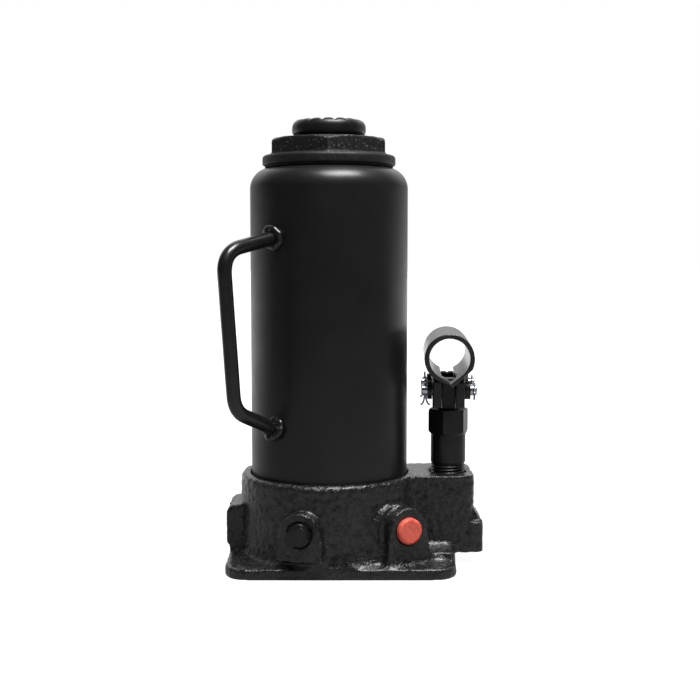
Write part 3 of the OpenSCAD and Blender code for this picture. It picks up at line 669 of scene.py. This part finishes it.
def safety_cap():
    """Moulded cap, with the cut of its sprue on the rim."""
    start, outward = facing_axis(SAFETY_TURN, SAFETY_SIDE)
    across = np.array([math.cos(SAFETY_TURN), math.sin(SAFETY_TURN), 0.0])
    up = np.array([0.0, 0.0, 1.0])
    cap_r, base, face = 6.6 * MM, 49.2 * MM, 57 * MM
    nick_turn, nick_width, nick_depth = 1.15, 0.16, 0.55 * MM
    profile = [(0.05 * MM, base), (cap_r - 0.5 * MM, base)]
    profile += arc((cap_r - 0.5 * MM, base + 0.5 * MM), 0.5 * MM, -80, 0, 4)
    profile += [(cap_r, z) for z in np.linspace(base + 1 * MM, face - 1.6 * MM, 12)]
    profile += arc((cap_r - 1.4 * MM, face - 1.4 * MM), 1.4 * MM, 0, 88, 8)
    profile += [(r, face - 0.1 * MM * (1 - r / cap_r))
                for r in np.linspace(cap_r - 2 * MM, 0.05 * MM, 8)]
    rows = []
    for r, d in profile:
        ring = []
        for a in np.linspace(0, 2 * math.pi, 72, endpoint=False):
            nick = nick_depth * math.exp(-((a - nick_turn) / nick_width) ** 2) * (d > face - 2.2 * MM)
            reach = r - nick * (r > cap_r * 0.6)
            ring.append(start + outward * d + reach * (math.cos(a) * across + math.sin(a) * up))
        rows.append(ring)
    mesh = skin("red_cap", rows, closed=False)
    roughen(mesh, [(3 * MM, 0.06 * MM)])
    store(mesh, "wear", np.zeros(len(mesh.vertices)))
    return new_piece("red_cap", mesh, "base", "red_cap", ["safety_cap"])


def dress_nodes():
    """Give each CAD node its slot's material."""
    for entry in frame["record"]["subparts"]:
        data = frame["nodes"][entry["node"]].data
        data.materials.clear()
        data.materials.append(MATERIALS[entry["material_slot"]])


X_AXIS, Y_AXIS, Z_AXIS = (pump_frame(*v) - pump_frame(0, 0, 0)
                          for v in ((1, 0, 0), (0, 1, 0), (0, 0, 1)))
CROSS_LEFT, CROSS_RIGHT = -12.1 * MM, 13.3 * MM          # the pins' cross holes
# pin, its y and z, the body that it rides on, and the CAD node hidden with it
PINS = (("plunger", 0.0, 88 * MM, "socket", ["split_pins"]),
        ("fulcrum", 24 * MM, 89.2 * MM, "socket", []),
        ("link", 24.6 * MM, 36 * MM, "base", ["link_split_pins"]))


def all_split_pins():
    for place, y, z, body, hidden in PINS:
        split_pin(f"split_pin_{place}_left", pump_frame(CROSS_LEFT, y, z), Z_AXIS, Y_AXIS, X_AXIS, body,
                  leg=5.4 * MM, spread=0.12, hook=1.0, replaces=hidden)
        split_pin(f"split_pin_{place}_right", pump_frame(CROSS_RIGHT, y, z), Y_AXIS, X_AXIS, Z_AXIS, body,
                  leg=4.8 * MM, spread=1.4, hook=0.2)


dress_nodes()
cast_base()
reservoir()
clamp_nut()
saddle()
screw_thread()
pump_barrel()
forged("handle_tube", "handle_socket", "socket", "socket_black", 0.5 * MM, 3, [(6 * MM, 0.12 * MM)])
forged("link_plates", "fulcrum_link", "link", "pump_black", 0.4 * MM, 3, [(4 * MM, 0.06 * MM)])
plunger()
forged("release_screw", "release_valve", "release_valve", "pump_black", 0.25 * MM, 4,
       [(2.5 * MM, 0.12 * MM)])
carry_rod()
weld("weld_upper", CARRY_PATH[0], CARRY_PATH[1], 1.0, ["handle_welds"])
weld("weld_lower", CARRY_PATH[3], CARRY_PATH[2], 4.0)
safety_cap()
all_split_pins()


# ---- stage ----

FLOOR_GLOW = 0.95     # pale to the eye everywhere, and lighting the object only from behind
FRONT_GLOW = 0.12
BACK_GLOW = 1.5
HORIZON_SHARE = 0.3   # of the glow, low over the ground
CAMERA_LENS = 59.35
CAMERA_PLACE = (10.8 * MM, -600 * MM, 161.5 * MM)
CAMERA_TILT = 5       # degrees down


def floor():
    """Plain pale ground, wide enough to run out of sight."""
    sides = 96
    rows = lathe_rows([(0.2, 0.0), (1.0, 0.0), (8.0, 0.0)], sides)
    faces = [tuple(range(sides))]
    for k in (0, sides):
        faces += [(k + i, k + (i + 1) % sides, k + sides + (i + 1) % sides, k + sides + i)
                  for i in range(sides)]
    mesh = mesh_from("floor", np.reshape(rows, (-1, 3)), faces)
    plain = Shader("floor")
    parts = plain.node("ShaderNodeSeparateXYZ", {"Vector": plain.place})
    behind = plain.remap(parts.outputs["Y"], 30 * MM, 900 * MM)
    tone = plain.mix(plain.noise(200 * MM), (0.3, 0.3, 0.3), (0.33, 0.33, 0.33))
    tone = plain.mix(behind, tone, (0.75, 0.75, 0.75))
    seen = plain.math("MAXIMUM", plain.node("ShaderNodeLightPath").outputs["Is Camera Ray"], behind)
    plain.tree.links.new(plain.math("MULTIPLY", seen, FLOOR_GLOW), plain.bsdf.inputs["Emission Strength"])
    mesh.materials.append(plain.finish(tone, plain.remap(plain.noise(100 * MM), 0, 1, 0.6, 0.7),
                                       Emission_Color=(1, 1, 1, 1)))
    ground = bpy.data.objects.new("floor", mesh)
    ground.location.z = -0.1 * MM
    bpy.context.scene.collection.objects.link(ground)


def world():
    """White studio: bright behind the object, dim in front of it."""
    sky = bpy.data.worlds.new("studio")
    bpy.context.scene.world = sky
    sky.use_nodes = True
    tree = sky.node_tree
    tree.nodes.clear()
    out = tree.nodes.new("ShaderNodeOutputWorld")
    direction = tree.nodes.new("ShaderNodeTexCoord")
    parts = tree.nodes.new("ShaderNodeSeparateXYZ")
    tree.links.new(direction.outputs["Generated"], parts.inputs[0])
    glow = tree.nodes.new("ShaderNodeMath")
    glow.operation = "MULTIPLY"
    for index, (way, *span) in enumerate((("Y", 0.3, 0.85, FRONT_GLOW, BACK_GLOW),
                                          ("Z", 0.1, 0.5, HORIZON_SHARE, 1.0))):
        ramp = tree.nodes.new("ShaderNodeMapRange")
        for key, value in zip(("From Min", "From Max", "To Min", "To Max"), span):
            ramp.inputs[key].default_value = value
        tree.links.new(parts.outputs[way], ramp.inputs["Value"])
        tree.links.new(ramp.outputs["Result"], glow.inputs[index])
    lit = tree.nodes.new("ShaderNodeBackground")
    tree.links.new(glow.outputs["Value"], lit.inputs["Strength"])
    seen = tree.nodes.new("ShaderNodeBackground")
    seen.inputs["Strength"].default_value = 1.0
    for node in (lit, seen):
        node.inputs["Color"].default_value = (1, 1, 1, 1)
    path = tree.nodes.new("ShaderNodeLightPath")
    choose = tree.nodes.new("ShaderNodeMixShader")
    tree.links.new(path.outputs["Is Camera Ray"], choose.inputs[0])
    tree.links.new(lit.outputs[0], choose.inputs[1])
    tree.links.new(seen.outputs[0], choose.inputs[2])
    tree.links.new(choose.outputs[0], out.inputs[0])


def softbox(name, place, aim, size, power):
    lamp = bpy.data.lights.new(name, "AREA")
    lamp.shape = "RECTANGLE"
    lamp.size, lamp.size_y = size
    lamp.energy = power
    holder = bpy.data.objects.new(name, lamp)
    holder.location = place
    holder.rotation_euler = (Vector(aim) - Vector(place)).to_track_quat("-Z", "Y").to_euler()
    bpy.context.scene.collection.objects.link(holder)


def camera():
    eye = bpy.data.cameras.new("camera")
    eye.lens, eye.sensor_width = CAMERA_LENS, 36
    holder = bpy.data.objects.new("camera", eye)
    holder.location = CAMERA_PLACE
    holder.rotation_euler = (math.radians(90 - CAMERA_TILT), 0, 0)
    bpy.context.scene.collection.objects.link(holder)
    bpy.context.scene.camera = holder


floor()
world()
softbox("top_light", (0.16, -0.25, 0.85), (0.0, 0.0, 0.1), (0.42, 0.3), 9)
camera()
bpy.context.scene.view_settings.view_transform = "Standard"
